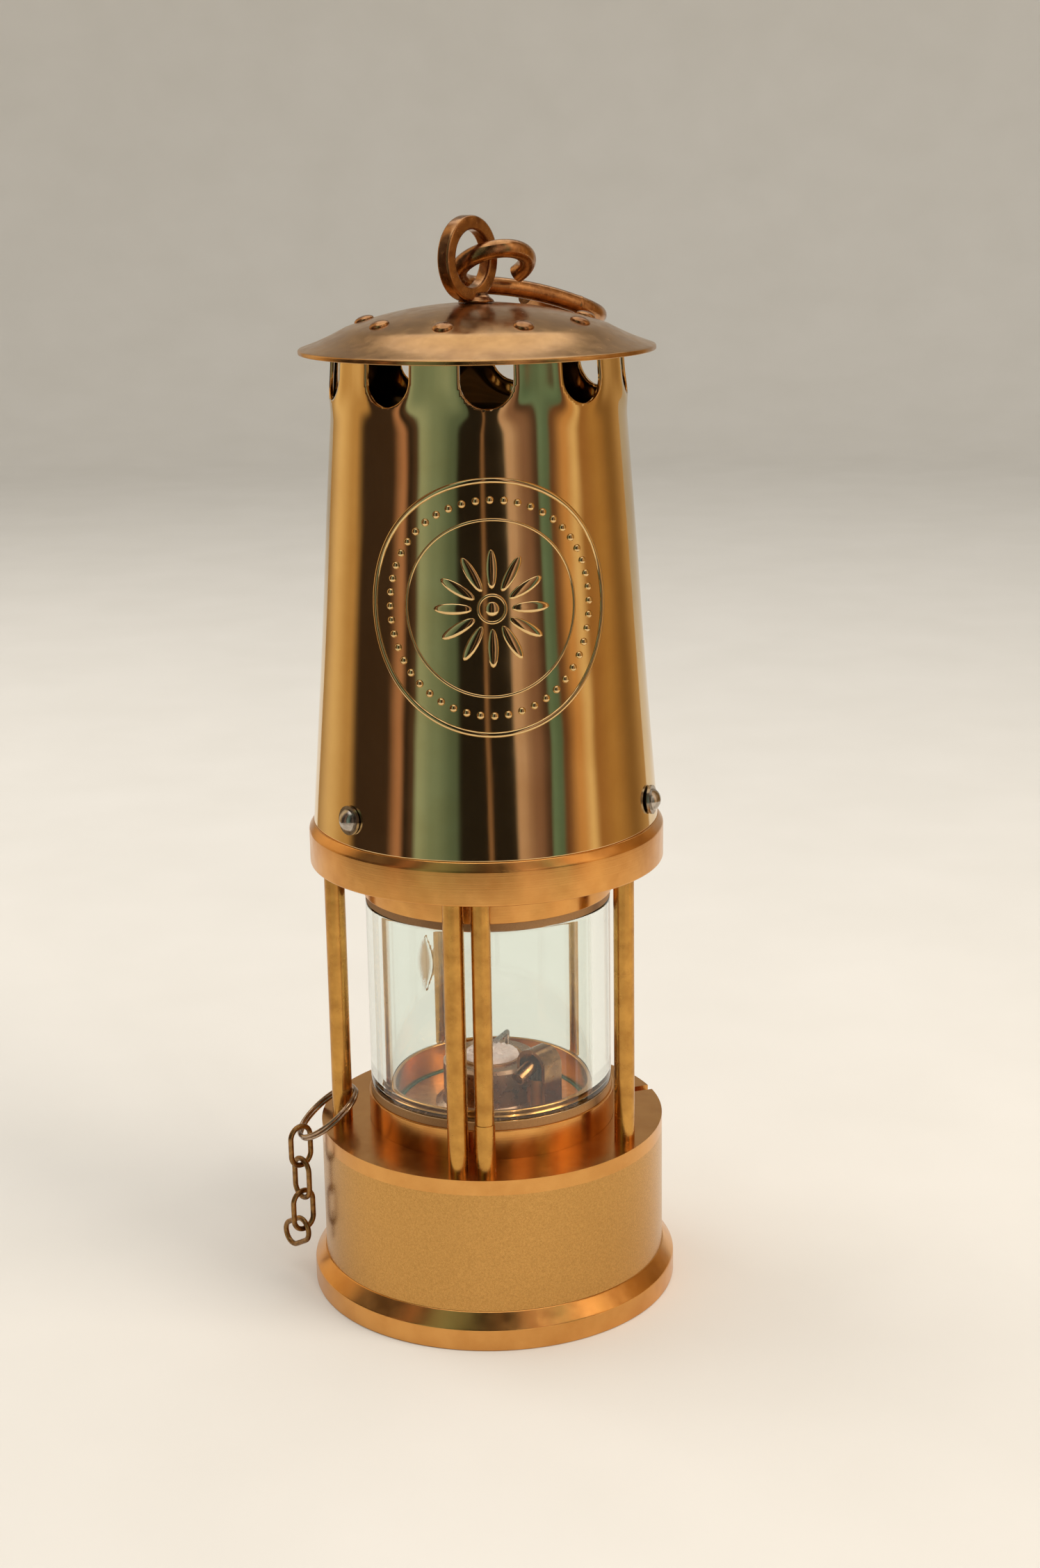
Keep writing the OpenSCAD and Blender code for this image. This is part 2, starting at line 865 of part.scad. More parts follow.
module lid_rivets() {
  color("peru")
    rivet_places() {
      intersection() {
        translate([0, 0, rivet_h - rivet_d * 0.75])
          sphere(r = rivet_d * 0.75);
        cylinder(d = rivet_d, h = rivet_h);
      }
      translate([0, 0, -lid_t - sheet_t - 0.8])
        cylinder(d = rivet_shank_d, h = lid_t + sheet_t + 0.9);
      translate([0, 0, -lid_t - sheet_t - 1])
        cylinder(d = rivet_d - 1.4, h = 0.9);
    }
}

module crown_washer() {
  color("goldenrod")
    washer(8, eye_shank_d / 2 + run_gap, crown_z - lid_t - washer_t - 0.4, washer_t);
}

// The eye: a ring of square bar on a round shank that turns in the lid.
module suspension_eye() {
  nut_z = crown_z - lid_t - washer_t - 0.4 - move_gap - eye_nut_h;
  color("peru")
    union() {
      translate([0, 0, nut_z])
        cylinder(d = eye_shank_d, h = eye_z - eye_r - nut_z);
      rotate([0, 0, eye_turn])
        translate([-eye_offset, 0, eye_z])
          rotate([90, 0, 0])
            rotate_extrude()
              translate([eye_r - eye_bar / 2, -eye_bar / 2])
                square(eye_bar);
    }
}

module eye_nut() {
  color("goldenrod")
    translate([0, 0, crown_z - lid_t - washer_t - 0.4 - move_gap - eye_nut_h])
      difference() {
        cylinder(r = 5, h = eye_nut_h, $fn = 6);
        translate([0, 0, -past])
          cylinder(d = eye_shank_d + 2 * fit_gap, h = eye_nut_h + 2 * past);
      }
}

// The hook: a closed loop, a shank that follows the lid's dome, and an open bend.
module hook() {
  color("peru")
    rotate([0, 0, shank_turn])
      translate([0, 0, dome_z]) {
        translate(shank_start)
          rotate([0, shank_from, 0])
            rotate([90 + loop_lean, 0, 0])
              translate([0, loop_r, 0])
                arc_bar(loop_r, hook_d, -loop_gap_angle, 270 + loop_gap_angle);
        translate([0, shank_start.y, 0])
          rotate([90, 0, 0])
            arc_bar(shank_r, hook_d, 90 - shank_from - shank_sweep, shank_sweep);
        for (turn = [shank_from, shank_from + shank_sweep])
          translate([0, shank_start.y, 0])
            rotate([0, turn, 0])
              translate([0, 0, shank_r])
                sphere(d = hook_d + 2 * weld_h, $fn = 32);
        translate([0, shank_start.y, 0])
          rotate([0, shank_from + shank_sweep, 0])
            translate([0, bend_r, shank_r])
              arc_bar(bend_r, hook_d, -90, bend_angle);
      }
}

// The key ring's place: round the left pillar, with its outer side hanging down.
module key_ring_place() {
  at(ring_pillar, pillar_circle_r + key_ring_out, plate_top + key_ring_lift)
    children();
}

module key_ring() {
  color("silver")
    key_ring_place()
      rotate([key_ring_tilt, 0, 0])
        for (side = [-1, 1])
          translate([0, 0, side * key_ring_pitch / 2])
            arc_bar(key_ring_r, key_ring_d, 0, 360);
}

// A chain link that stands up in the XZ plane.
module link() {
  mean_r = (link_w - link_d) / 2;
  half = link_l / 2 - link_w / 2;
  rotate([90, 0, 0]) {
    translate([0, half, 0])
      arc_bar(mean_r, link_d, 0, 180);
    translate([0, -half, 0])
      arc_bar(mean_r, link_d, 180, 180);
  }
  for (side = [-1, 1])
    translate([side * mean_r, 0, -half])
      cylinder(d = link_d, h = 2 * half, $fn = 32);
}

module link_place(n) {
  turn = -90 + link_twist - 90 * ((n - 1) % 2);
  key_ring_place()
    translate([0, -key_ring_r * cos(key_ring_tilt), -key_ring_r * sin(key_ring_tilt)])
      translate([0, 0, link_hang - (link_l - link_d) / 2 - (n - 1) * link_step])
        rotate([0, 0, turn])
          children();
}

module link_1() {
  color("peru")
    link_place(1)
      link();
}

module link_2() {
  color("peru")
    link_place(2)
      link();
}

module link_3() {
  color("peru")
    link_place(3)
      link();
}

// The last link is swung out behind the others, about the bar that it hangs on.
module link_4() {
  bar_z = (link_l - link_d) / 2 - link_d - move_gap;
  color("peru")
    link_place(4)
      translate([0, 0, bar_z])
        rotate([0, -last_link_swing, 0])
          translate([0, 0, -bar_z])
            link();
}

// The wick pricker: a rod with a bent top that lies just over the wick.
module wick_pricker() {
  arm_z = wick_top + move_gap + 0.1 + pricker_rod_r;
  color("silver")
    at(pricker_angle, pricker_r) {
      translate([0, 0, knob_z + 0.4])
        cylinder(r = pricker_rod_r, h = arm_z - knob_z - 0.4);
      translate([0, 0, arm_z])
        rotate([-90, 0, 0])
          cylinder(r = pricker_rod_r, h = pricker_r - 3);
      translate([0, 0, arm_z])
        sphere(r = pricker_rod_r + 0.05);
    }
}

// A knurled finger knob under the base: a disc with flutes round its rim.
module finger_knob(knob_r, rod_r, flutes) {
  difference() {
    union() {
      cylinder(r = knob_r, h = knob_h - 1.2);
      cylinder(r = rod_r + 1.6, h = knob_h);
    }
    translate([0, 0, 0.4])
      cylinder(r = rod_r, h = knob_h);
    for (i = [0 : flutes - 1])
      rotate([0, 0, i * 360 / flutes])
        translate([knob_r + 0.5, 0, -past])
          cylinder(r = 0.9, h = knob_h + past, $fn = 16);
  }
}

module pricker_knob() {
  color("goldenrod")
    at(pricker_angle, pricker_r, knob_z)
      finger_knob(pricker_knob_r, pricker_rod_r, 18);
}

module relighter_knob() {
  color("goldenrod")
    at(relighter_angle, relighter_r, knob_z)
      finger_knob(relighter_knob_r, relighter_rod_r, 24);
}

module relighter_spindle() {
  color("silver")
    at(relighter_angle, relighter_r, knob_z + 0.4)
      cylinder(r = relighter_rod_r, h = wheel_top - 0.2 - knob_z - 0.4);
}

// The serrated wheel that strikes the flint.
module striker_wheel() {
  teeth = 20;
  color("dimgray")
    at(relighter_angle, relighter_r, wheel_top - wheel_h)
      difference() {
        cylinder(r = wheel_r, h = wheel_h);
        translate([0, 0, -past])
          cylinder(r = relighter_rod_r, h = wheel_h + 2 * past);
        for (i = [0 : teeth - 1])
          rotate([0, 0, i * 360 / teeth])
            translate([wheel_r, 0, -past])
              rotate([0, 0, 45])
                cube([0.4, 0.4, 2 * (wheel_h + 2 * past)], center = true);
      }
}

base_flange();
floor_plate();
filler_plug();
vessel_shell();
cotton_packing();
gallery_collar();
lower_gasket();
burner_plate();
burner_seal();
burner_screws();
wick_housing();
wick_tube();
wick();
striker_hood();
flint_tube();
flint();
flint_spring();
flint_plug();
stop_pin();
pricker_tube();
relighter_tube();
glass();
pillar_plate();
pillars();
lock_sleeve();
lock_tube();
lock_spring();
lock_bolt();
glass_seat();
upper_gasket();
bonnet_ring();
gauze_clamp();
inner_gauze();
outer_gauze();
bonnet_shell();
crest_ring();
bonnet_screws();
bonnet_washers();
lid();
lid_rivets();
crown_washer();
suspension_eye();
eye_nut();
hook();
key_ring();
link_1();
link_2();
link_3();
link_4();
wick_pricker();
pricker_knob();
relighter_spindle();
striker_wheel();
relighter_knob();
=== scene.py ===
# %% [markdown]
# # A miner's flame safety lamp
#
# The lamp stands on a plain floor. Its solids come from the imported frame, and this
# script gives each of them its finish. Where the real piece has rounded edges, dents
# or fibres that the plain solid lacks, a new piece is modelled and stands for it.

# %% Load the frame
import math
import random

import bmesh
import bpy
from mathutils import Matrix, Vector, noise


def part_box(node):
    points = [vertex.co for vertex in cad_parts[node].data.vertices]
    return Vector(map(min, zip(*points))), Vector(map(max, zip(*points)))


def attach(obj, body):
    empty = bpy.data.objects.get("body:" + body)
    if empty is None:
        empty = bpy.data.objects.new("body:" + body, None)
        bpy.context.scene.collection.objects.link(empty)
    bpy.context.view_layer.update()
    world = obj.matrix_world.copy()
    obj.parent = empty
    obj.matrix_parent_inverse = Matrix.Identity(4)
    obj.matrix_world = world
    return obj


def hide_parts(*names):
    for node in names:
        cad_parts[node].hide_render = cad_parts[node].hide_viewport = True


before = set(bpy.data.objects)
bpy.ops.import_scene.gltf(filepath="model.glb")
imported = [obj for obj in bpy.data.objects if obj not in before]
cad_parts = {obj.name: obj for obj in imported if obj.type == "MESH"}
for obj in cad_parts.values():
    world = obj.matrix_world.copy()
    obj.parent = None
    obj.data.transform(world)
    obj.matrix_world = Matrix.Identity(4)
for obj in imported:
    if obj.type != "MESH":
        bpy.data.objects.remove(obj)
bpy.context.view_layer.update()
MM = 0.001


def low(node):
    """The lowest corner of a node's box, in millimetres."""
    return Vector(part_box(node)[0]) / MM


def high(node):
    """The highest corner of a node's box, in millimetres."""
    return Vector(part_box(node)[1]) / MM


print("nodes in the frame:", len(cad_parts))

# %% [markdown]
# ## The camera
#
# The photograph was taken from a little over half a metre away and from slightly above
# the lamp. A camera is placed by its distance, its height and three small turns. A
# direction could also be aimed at a target, but plain angles are easier to adjust.

# %% Camera
CAMERA_AWAY = 576
CAMERA_HEIGHT = 287.5
CAMERA_SIDE = -3.4
CAMERA_YAW = -0.868
CAMERA_PITCH = -14.98
CAMERA_ROLL = -0.904

camera_data = bpy.data.cameras.new("camera")
camera_data.sensor_fit = "VERTICAL"
camera_data.sensor_height = 36
camera_data.lens = 53.9
camera_data.clip_start = 0.01
camera_data.clip_end = 30
camera = bpy.data.objects.new("camera", camera_data)
bpy.context.scene.collection.objects.link(camera)
side = math.radians(CAMERA_SIDE)
place = Vector((math.sin(side), -math.cos(side), 0)) * CAMERA_AWAY
place.z = CAMERA_HEIGHT
camera.matrix_world = (
    Matrix.Translation(place * MM)
    @ Matrix.Rotation(side + math.radians(CAMERA_YAW), 4, "Z")
    @ Matrix.Rotation(math.radians(90 + CAMERA_PITCH), 4, "X")
    @ Matrix.Rotation(math.radians(CAMERA_ROLL), 4, "Z")
)
bpy.context.scene.camera = camera
print("camera at", [round(v, 3) for v in camera.matrix_world.translation])

# %% [markdown]
# ## Helpers for materials
#
# Colours are written as the hex values that a colour picker shows, so one function
# turns them to the linear values that the renderer mixes. Another adds one node to a
# tree, sets its fields and joins its inputs.

# %% Colour and node helpers
def colour(code, alpha=1.0):
    """An sRGB hex code as a linear colour."""
    parts = [int(code[i : i + 2], 16) / 255 for i in (1, 3, 5)]
    line = [c / 12.92 if c <= 0.04045 else ((c + 0.055) / 1.055) ** 2.4 for c in parts]
    return (*line, alpha)


def add_node(tree, kind, inputs=None, **settings):
    """Adds a node. An input is a value, or the socket that it is joined to."""
    made = tree.nodes.new("ShaderNode" + kind)
    for field, value in settings.items():
        setattr(made, field, value)
    for name, value in (inputs or {}).items():
        if isinstance(value, bpy.types.NodeSocket):
            tree.links.new(value, made.inputs[name])
        else:
            made.inputs[name].default_value = value
    return made


def per_metre(size_mm):
    """The scale that gives a pattern features of this size."""
    return 1 / (size_mm * MM)


def new_material(name):
    """An empty material with its shader and the object's own coordinates."""
    made = bpy.data.materials.new(name)
    made.use_nodes = True
    tree = made.node_tree
    tree.nodes.clear()
    shader = add_node(tree, "BsdfPrincipled")
    output = add_node(tree, "OutputMaterial", {"Surface": shader.outputs[0]})
    output.location = (300, 0)
    return made, tree, shader


materials = {}

# %% [markdown]
# ## Metal
#
# Every metal here is a bare or lacquered surface, so the colour is in the reflection.
# What tells one from another is how it was worked. A lathe leaves fine rings round its
# axis, drawing leaves lines along a bar, and rolling and polishing leave a soft mottle.
# One function makes all of them: a noise for tarnish, a finer one for the roughness,
# and a stretched one for the lines of the tool.

# %% The lines that a tool leaves
def tool_lines(tree, coord, way, pitch_mm):
    """Noise stretched along the way that the tool went."""
    fine = per_metre(pitch_mm)
    loose = fine / 60
    if way == "turned":
        apart = add_node(tree, "SeparateXYZ", {"Vector": coord})
        flat = add_node(
            tree, "CombineXYZ", {"X": apart.outputs["X"], "Y": apart.outputs["Y"]}
        )
        radius = add_node(
            tree, "VectorMath", {0: flat.outputs[0]}, operation="LENGTH"
        )
        along = add_node(
            tree,
            "CombineXYZ",
            {"X": radius.outputs["Value"], "Y": apart.outputs["Z"], "Z": 0.0},
        )
        scale = (fine, fine, 1)
        vector = along.outputs[0]
    else:
        scale = {"drawn": (fine, fine, loose), "hooped": (loose, loose, fine)}[way]
        vector = coord
    spread = add_node(tree, "Mapping", {"Vector": vector, "Scale": scale})
    lines = add_node(
        tree,
        "TexNoise",
        {"Vector": spread.outputs[0], "Scale": 1.0, "Detail": 3.0, "Roughness": 0.6},
    )
    return lines.outputs[0]


def metal(name, bright, tarnish, rough, spots_mm=6, worn=0.35, way="turned",
          pitch_mm=0.35, depth_um=4, rough_spread=0.5):
    """A metal of two colours, with its roughness and the lines of its tool."""
    made, tree, shader = new_material(name)
    coord = add_node(tree, "TexCoord").outputs["Object"]
    spots = add_node(
        tree,
        "TexNoise",
        {"Vector": coord, "Scale": per_metre(spots_mm), "Detail": 6.0, "Roughness": 0.6},
    )
    amount = add_node(
        tree,
        "MapRange",
        {"Value": spots.outputs[0], "From Min": 0.35, "From Max": 0.7, "To Max": worn},
    )
    mixed = add_node(
        tree,
        "MixRGB",
        {"Fac": amount.outputs[0], "Color1": colour(bright), "Color2": colour(tarnish)},
    )
    smears = add_node(
        tree,
        "TexNoise",
        {"Vector": coord, "Scale": per_metre(spots_mm * 0.4), "Detail": 5.0},
    )
    gloss = add_node(
        tree,
        "MapRange",
        {
            "Value": smears.outputs[0],
            "From Min": 0.3,
            "From Max": 0.75,
            "To Min": rough,
            "To Max": rough * (1 + rough_spread),
        },
    )
    lines = tool_lines(tree, coord, way, pitch_mm)
    relief = add_node(
        tree,
        "Bump",
        {"Height": lines, "Strength": 0.5, "Distance": depth_um * 1e-6},
    )
    tree.links.new(mixed.outputs[0], shader.inputs["Base Color"])
    tree.links.new(gloss.outputs[0], shader.inputs["Roughness"])
    tree.links.new(relief.outputs[0], shader.inputs["Normal"])
    shader.inputs["Metallic"].default_value = 1.0
    materials[name] = made
    return made


# Rolled sheet brass, buffed to a mirror: pale gold, with hardly a line left.
metal("buffed_sheet_brass", "#E0C08A", "#C69D60", 0.06, 14, 0.35, "drawn", 0.8, 3)
# Turned gunmetal brass, polished on the lathe: orange gold with faint rings.
metal("turned_brass", "#DDA35C", "#B67636", 0.18, 9, 0.45, "turned", 0.45, 12)
# The oil vessel's wall: rubbed brass with a fine mottle that blurs what it mirrors.
metal("rubbed_brass", "#CF9E5A", "#A67A40", 0.2, 0.5, 0.6, "drawn", 0.4, 9, 0.6)
# Drawn brass rod, dulled by handling: darker gold with lines along its length.
metal("drawn_brass_rod", "#CE9A4E", "#8A5A28", 0.2, 5, 0.55, "drawn", 0.25, 6)
# Spun sheet brass of the lid: brown gold with rings and rubbed patches.
metal("spun_lid_brass", "#C0925A", "#8E6234", 0.16, 7, 0.6, "turned", 0.35, 6, 0.8)
# Copper-toned bronze, bent hot and buffed: red brown with dark hollows.
metal("bent_bronze", "#BA895A", "#683F28", 0.17, 3, 0.75, "drawn", 0.5, 6, 0.8)
# Old bronze wire of the chain: brown brass, dulled by years of handling.
metal("aged_chain_bronze", "#A27A48", "#4E3420", 0.27, 1.5, 0.8, "drawn", 0.4, 6)
# Dull brass out of sight and in the burner: brown gold.
metal("dull_brass", "#CFA071", "#94694A", 0.36, 3, 0.5, "turned", 0.4, 6)
# Patinated bronze of the wick housing: dark red brown, polished smooth.
metal("patinated_bronze", "#C29C80", "#8C6450", 0.24, 5, 0.5, "turned", 0.5, 3)
# Nickel plate on steel: neutral and bright, a little scuffed.
metal("nickel_plate", "#BDB4A8", "#6E6054", 0.18, 1.2, 0.7, "drawn", 0.3, 5)
# The key ring's plate is worn through to the brass, so it is warmer.
metal("worn_plated_wire", "#BBA288", "#6A5040", 0.18, 1.2, 0.7, "drawn", 0.3, 5)
# Bright drawn steel rod.
metal("bright_steel", "#B9B8B6", "#7F7C78", 0.22, 3, 0.4, "drawn", 0.25, 4)
# Hardened steel of the striker wheel: nearly black with worn edges.
metal("hardened_steel", "#6E6C6A", "#3A3736", 0.35, 1.5, 0.5, "turned", 0.3, 6)
# Seal ring eaten by verdigris: green salts over brown brass.
metal("verdigris_brass", "#6FA088", "#3F6B58", 0.6, 1.2, 0.7, "turned", 0.4, 20)
print("metals made:", len(materials))

# %% [markdown]
# ## What isn't metal
#
# The glass is thick and clear, and the light bends in it as in window glass. The wick
# and the packing are cotton, the gaskets are pressed fibre, and the gauze is so fine
# that it is drawn as a pattern of crossed wires with a real pitch.

# %% Glass
made, tree, shader = new_material("clear_lamp_glass")
coord = add_node(tree, "TexCoord").outputs["Object"]
ripple = add_node(
    tree, "TexNoise", {"Vector": coord, "Scale": per_metre(14), "Detail": 2.0}
)
relief = add_node(
    tree, "Bump", {"Height": ripple.outputs[0], "Strength": 0.3, "Distance": 2e-5}
)
smear = add_node(
    tree,
    "MapRange",
    {"Value": ripple.outputs[0], "From Min": 0.4, "From Max": 0.8, "To Max": 0.03},
)
chipped = add_node(tree, "Attribute", attribute_name="chip").outputs["Fac"]
frost = add_node(
    tree, "MapRange", {"Value": chipped, "To Min": 0.0, "To Max": 0.35}
)
rough = add_node(
    tree, "Math", {0: smear.outputs[0], 1: frost.outputs[0]}, operation="ADD"
)
stain = add_node(
    tree,
    "MixRGB",
    {"Fac": chipped, "Color1": colour("#F4FAF7"), "Color2": colour("#B58E66")},
)
tree.links.new(relief.outputs[0], shader.inputs["Normal"])
tree.links.new(rough.outputs[0], shader.inputs["Roughness"])
tree.links.new(stain.outputs[0], shader.inputs["Base Color"])
shader.inputs["Transmission Weight"].default_value = 1.0
shader.inputs["IOR"].default_value = 1.5
materials["clear_lamp_glass"] = made


# %% Cotton, fibre and flint
def matt(name, light, dark, rough, grain_mm, depth_mm, sheen=0.0):
    """A dull stuff of two colours with a grain that stands out a little."""
    made, tree, shader = new_material(name)
    coord = add_node(tree, "TexCoord").outputs["Object"]
    grain = add_node(
        tree,
        "TexNoise",
        {"Vector": coord, "Scale": per_metre(grain_mm), "Detail": 8.0, "Roughness": 0.7},
    )
    mixed = add_node(
        tree,
        "MixRGB",
        {"Fac": grain.outputs[0], "Color1": colour(light), "Color2": colour(dark)},
    )
    relief = add_node(
        tree,
        "Bump",
        {"Height": grain.outputs[0], "Strength": 0.7, "Distance": depth_mm * MM},
    )
    tree.links.new(mixed.outputs[0], shader.inputs["Base Color"])
    tree.links.new(relief.outputs[0], shader.inputs["Normal"])
    shader.inputs["Roughness"].default_value = rough
    shader.inputs["Sheen Weight"].default_value = sheen
    materials[name] = made
    return made


# Braided cotton of the wick: off white with a pink warmth, and fuzzy.
matt("wick_cotton", "#F6E4DC", "#C9A398", 0.95, 0.5, 0.3, 0.4)
# Loose cotton packing in the vessel.
matt("packing_cotton", "#EFE9DA", "#C9BFA6", 0.95, 1.5, 0.6, 0.3)
# Gaskets painted amber brown, nearly the colour of the brass in its shade: painted shade,
# so that they read as a shadow line under the brass.
matt("gasket_painted_shade", "#A67C48", "#75522C", 0.6, 0.4, 0.1)
# Pressed lighter flint: dark and grainy.
matt("pressed_flint", "#57524E", "#2B2826", 0.8, 0.3, 0.05)

# %% Woven gauze
# Real gauze has about one wire every 0.8 mm. Two waves stand for the crossed wires.
made, tree, shader = new_material("woven_gauze")
coord = add_node(tree, "TexCoord").outputs["Object"]
GAUZE_PITCH = 0.8
wires = []
for direction in ("Z", "DIAGONAL"):
    wave = add_node(
        tree,
        "TexWave",
        {"Vector": coord, "Scale": per_metre(GAUZE_PITCH) / 20, "Distortion": 0.0},
        bands_direction=direction,
    )
    wires.append(wave.outputs["Fac"])
crossed = add_node(tree, "Math", {0: wires[0], 1: wires[1]}, operation="MAXIMUM")
# The gaps between the wires get the near-black colour: painted shade for the dark inside
# seen through them, as the surface has no real holes.
mixed = add_node(
    tree,
    "MixRGB",
    {"Fac": crossed.outputs[0], "Color1": colour("#161412"), "Color2": colour("#7C776F")},
)
relief = add_node(
    tree, "Bump", {"Height": crossed.outputs[0], "Strength": 1.0, "Distance": 0.2 * MM}
)
tree.links.new(mixed.outputs[0], shader.inputs["Base Color"])
tree.links.new(relief.outputs[0], shader.inputs["Normal"])
shader.inputs["Metallic"].default_value = 0.8
shader.inputs["Roughness"].default_value = 0.5
materials["woven_gauze"] = made
print("materials:", sorted(materials))

# %% [markdown]
# ## Finishes for the solids that stay
#
# Most small pieces are right as they are, and only need their finish. The frame's
# objects keep their mesh and place, and get a material in their slot.

# %% Finishes of the carried-over solids
FINISHES = {
    "turned_brass": ["pillar_plate", "gallery_collar", "glass_seat", "bonnet_ring",
                     "base_flange", "crown_washer", "burner_screws"],
    "rubbed_brass": ["vessel_shell", "floor_plate"],
    "drawn_brass_rod": ["pillars", "lock_sleeve", "lock_tube", "stop_pin"],
    "buffed_sheet_brass": ["bonnet_shell", "crest_ring"],
    "spun_lid_brass": ["lid"],
    "bent_bronze": ["suspension_eye", "hook", "lid_rivets", "striker_hood",
                    "flint_tube"],
    "aged_chain_bronze": ["link_1", "link_2", "link_3", "link_4"],
    "dull_brass": ["filler_plug", "wick_tube", "flint_plug", "burner_plate",
                   "pricker_tube", "relighter_tube", "pricker_knob",
                   "relighter_knob", "gauze_clamp", "eye_nut"],
    "patinated_bronze": ["wick_housing"],
    "worn_plated_wire": ["key_ring"],
    "nickel_plate": ["bonnet_screws", "bonnet_washers"],
    "bright_steel": ["lock_bolt", "lock_spring", "flint_spring", "wick_pricker",
                     "relighter_spindle"],
    "hardened_steel": ["striker_wheel"],
    "verdigris_brass": ["burner_seal"],
    "pressed_flint": ["flint"],
    "woven_gauze": ["inner_gauze", "outer_gauze"],
    "gasket_painted_shade": ["lower_gasket", "upper_gasket"],
    "wick_cotton": ["wick"],
    "packing_cotton": ["cotton_packing"],
    "clear_lamp_glass": ["glass"],
}
for finish, nodes in FINISHES.items():
    for name in nodes:
        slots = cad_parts[name].data.materials
        slots.clear()
        slots.append(materials[finish])
finished = {name for nodes in FINISHES.values() for name in nodes}
print("nodes with no finish yet:", sorted(set(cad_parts) - finished))

# %% [markdown]
# ## Turned pieces
#
# The flange, the vessel, the rings, the glass and the lid are all turned about one
# axis. A polished turned piece shows a thin bright line along every edge, because no
# edge is truly sharp. So each is a closed outline that is spun round, and then its
# edges are bevelled by a fraction of a millimetre. Weighted normals keep the flat
# faces flat between the bevels.

# %% Spin a closed outline
SPIN_STEPS = 192


def finish_mesh(name, bm, material, body, replaced, weighted=True):
    """Turns a bmesh in millimetres into a piece that rides on its body."""
    bmesh.ops.scale(bm, vec=(MM, MM, MM), verts=bm.verts)
    for face in bm.faces:
        face.smooth = True
    mesh = bpy.data.meshes.new(name)
    bm.to_mesh(mesh)
    bm.free()
    piece = bpy.data.objects.new(name, mesh)
    bpy.context.scene.collection.objects.link(piece)
    mesh.materials.append(materials[material])
    if weighted:
        modifier = piece.modifiers.new("flat faces stay flat", "WEIGHTED_NORMAL")
        modifier.keep_sharp = True
    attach(piece, body)
    if replaced:
        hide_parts(*replaced)
    print(name, "faces:", len(mesh.polygons))
    return piece


def spin_outline(outline, steps=SPIN_STEPS, bevel=0.25, sharp=20):
    """A bmesh of a closed outline of radius and height, spun about the axis."""
    bm = bmesh.new()
    ring = [bm.verts.new((r, 0, z)) for r, z in outline]
    edges = [bm.edges.new((a, b)) for a, b in zip(ring, ring[1:] + ring[:1])]
    bmesh.ops.spin(
        bm, geom=ring + edges, axis=(0, 0, 1), cent=(0, 0, 0), angle=math.tau,
        steps=steps, use_merge=True, use_duplicate=False,
    )
    bmesh.ops.remove_doubles(bm, verts=bm.verts, dist=0.001)
    bmesh.ops.recalc_face_normals(bm, faces=bm.faces)
    if bevel:
        bevel_sharp(bm, bevel, sharp)
    return bm


def bevel_sharp(bm, width, sharp=20, segments=2):
    """Rounds every edge where two faces meet at more than an angle."""
    edges = [
        e for e in bm.edges
        if len(e.link_faces) == 2 and e.calc_face_angle() > math.radians(sharp)
    ]
    bmesh.ops.bevel(
        bm, geom=edges, offset=width, offset_type="OFFSET", affect="EDGES",
        segments=segments, profile=0.5, material=-1, clamp_overlap=True,
    )


# %% [markdown]
# ### The base
#
# The base flange has an upright band and a polished chamfer over it. It was turned
# from one casting, so its edges are only broken, not rounded.

# %% Base flange
base_r = high("base_flange").x
vessel_r = high("pillar_plate").x
base_top = low("vessel_shell").z
flange_top = high("base_flange").z
BAND = 5.7
RECESS_R = 38
plate_seat = base_top - 1.6
spigot_r = vessel_r - 1.7
flange = spin_outline([
    (RECESS_R, 0), (base_r, 0), (base_r, BAND), (vessel_r + 0.1, base_top),
    (spigot_r, base_top), (spigot_r, flange_top), (RECESS_R + 2, flange_top),
    (RECESS_R + 2, plate_seat), (RECESS_R, plate_seat),
], bevel=0.35)
finish_mesh("turned_base", flange, "turned_brass", "vessel", ["base_flange"])

# %% [markdown]
# ### The glass
#
# The glass is a thick pressed tube with fire-rounded rims. A chip, shaped like a
# leaf, sits on its left wall. It is a dent: the points of the outer wall near it are
# pushed in, and a value on each of them tells the glass material where it is frosted.

# %% Glass tube with its chip
glass_r = high("glass").x
glass_wall = 4.9
CHIP_TURN = -34
CHIP_Z = 95.5
CHIP_HIGH = 6.2
CHIP_WIDE = 2.1
CHIP_DEEP = 0.8
glass_low, glass_top = low("glass").z, high("glass").z
rows = 60
outer = [(glass_r, glass_low + (glass_top - glass_low) * i / rows)
         for i in range(rows + 1)]
inner = [(glass_r - glass_wall, glass_top), (glass_r - glass_wall, glass_low)]
tube = spin_outline(outer + inner, steps=360, bevel=0)
bevel_sharp(tube, 0.6, sharp=60, segments=3)
chip_layer = tube.verts.layers.float.new("chip")
for vert in tube.verts:
    r = math.hypot(vert.co.x, vert.co.y)
    if r < glass_r - 0.5:
        continue
    turn = math.degrees(math.atan2(vert.co.x, -vert.co.y))
    across = math.radians(turn - CHIP_TURN) * glass_r / CHIP_WIDE
    along = (vert.co.z - CHIP_Z) / CHIP_HIGH
    depth = 1 - abs(across) / max(1e-6, 1 - along * along) if abs(along) < 1 else 0
    if depth > 0:
        vert.co -= Vector((vert.co.x, vert.co.y, 0)).normalized() * CHIP_DEEP * depth
        vert[chip_layer] = min(1, depth * 2)
lamp_glass = finish_mesh("glass_tube", tube, "clear_lamp_glass", "glass", ["glass"])
# The lights shine straight through, so that the burner isn't in the dark.
lamp_glass.visible_shadow = False

# %% [markdown]
# ### The bonnet ring and the glass seat
#
# The ring is heavy and has a chamfer on top. The glass seat hangs under it.

